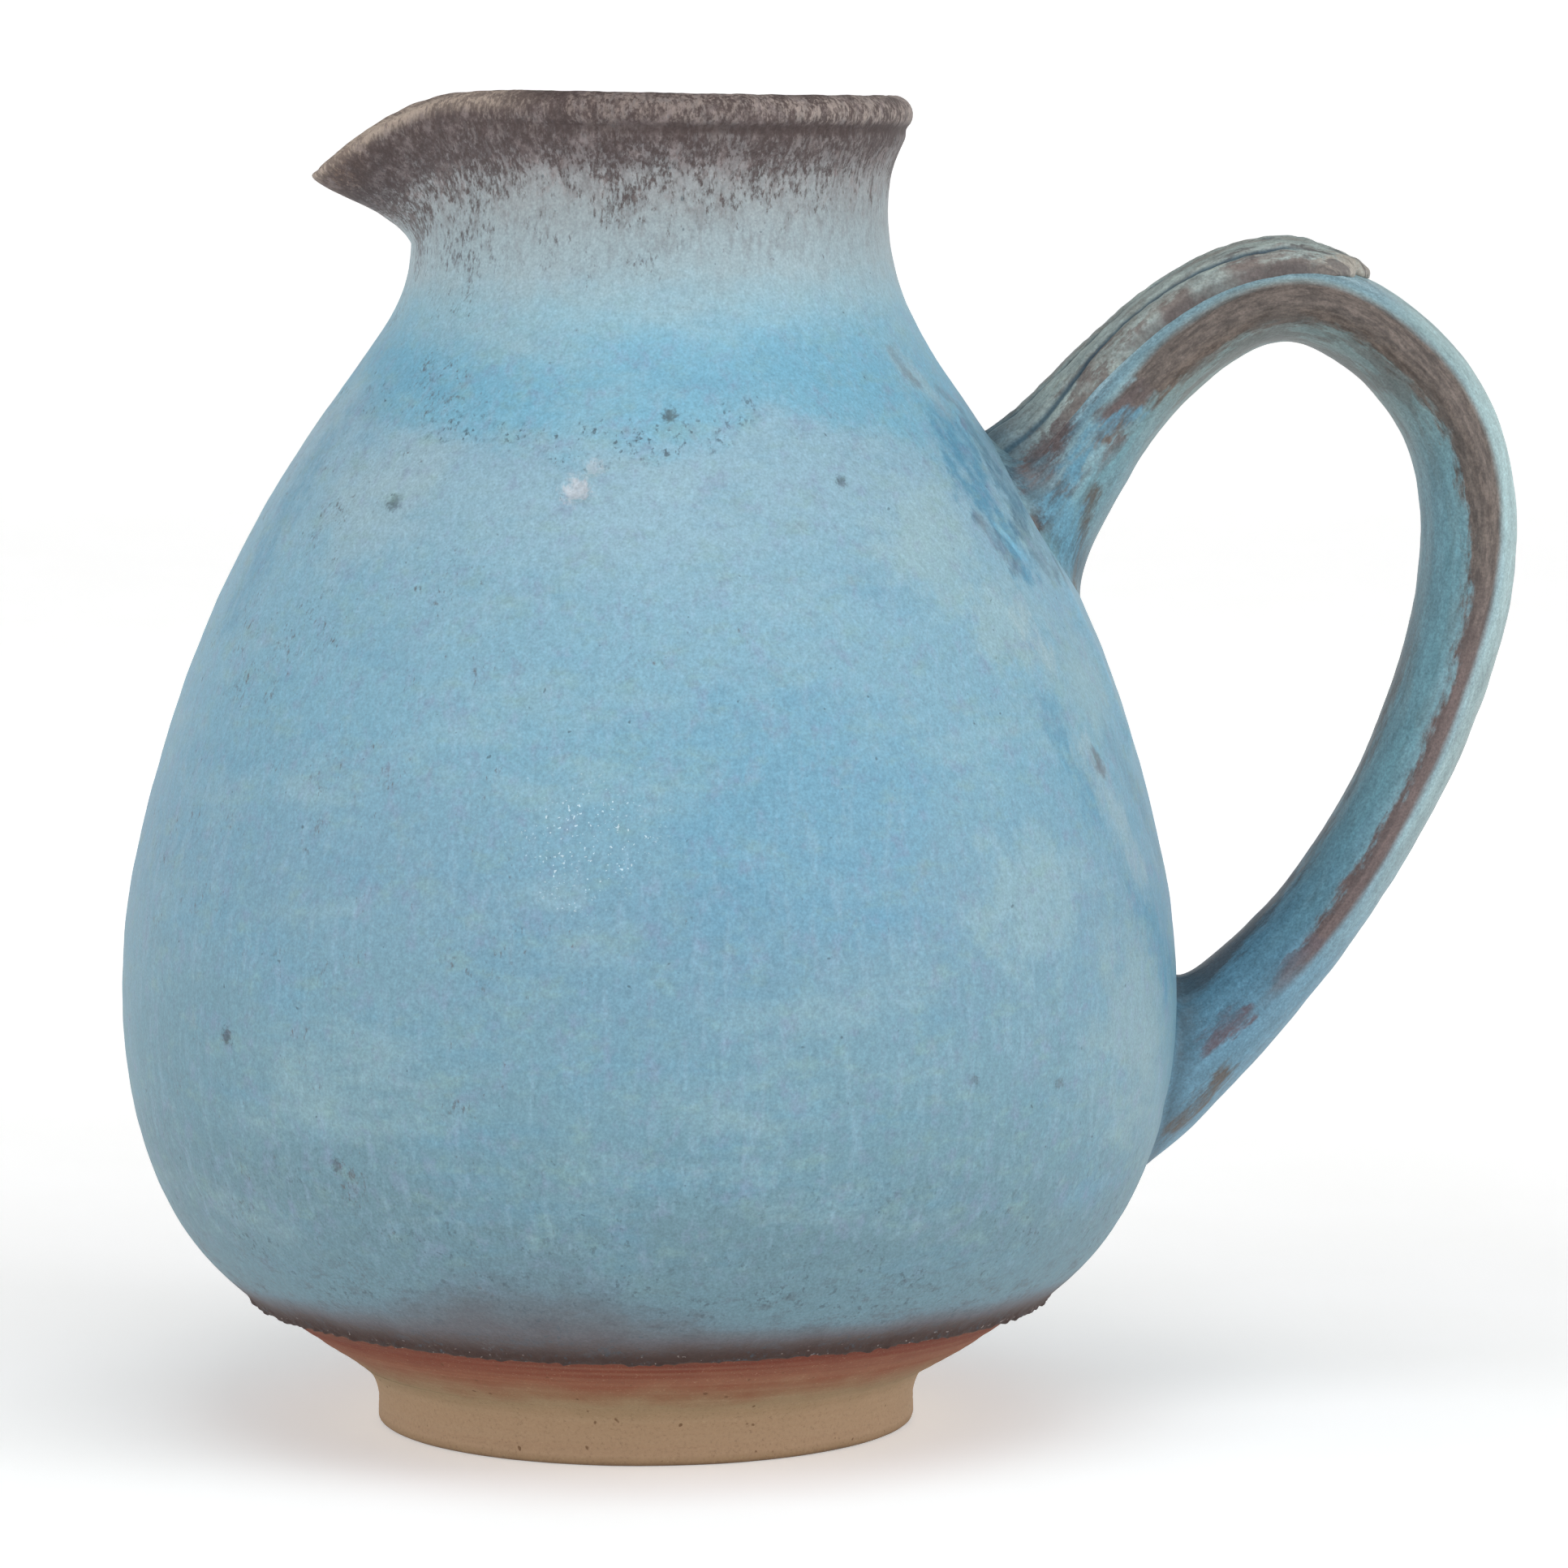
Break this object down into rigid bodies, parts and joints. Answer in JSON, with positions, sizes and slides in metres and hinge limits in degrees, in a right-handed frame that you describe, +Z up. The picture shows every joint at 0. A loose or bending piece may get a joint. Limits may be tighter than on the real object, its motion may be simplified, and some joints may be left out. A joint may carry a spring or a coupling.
{
  "type": "ceramic pitcher",
  "caption": "Round-bellied thrown stoneware pitcher with a pulled spout, a strap handle with a thumb stop, turquoise glaze and a bare turned foot.",
  "frame": {"origin": "centre of the foot ring, on the surface that the pitcher stands on", "axes": "+Z up, +X towards the handle, -X towards the spout, +Y across"},
  "size_m": [0.2008, 0.151, 0.1905],
  "materials": {
    "bare_clay": "matte",
    "turquoise_glaze": "satin",
    "liner_glaze": "satin"
  },
  "bodies": {
    "root": {"foot_ring": "bare_clay", "thrown_body": "bare_clay", "strap_handle": "bare_clay", "thumb_strip": "turquoise_glaze", "upper_joint": "turquoise_glaze", "lower_joint": "turquoise_glaze", "outside_glaze": "turquoise_glaze", "handle_glaze": "turquoise_glaze", "inside_glaze": "liner_glaze"}
  },
  "joints": []
}
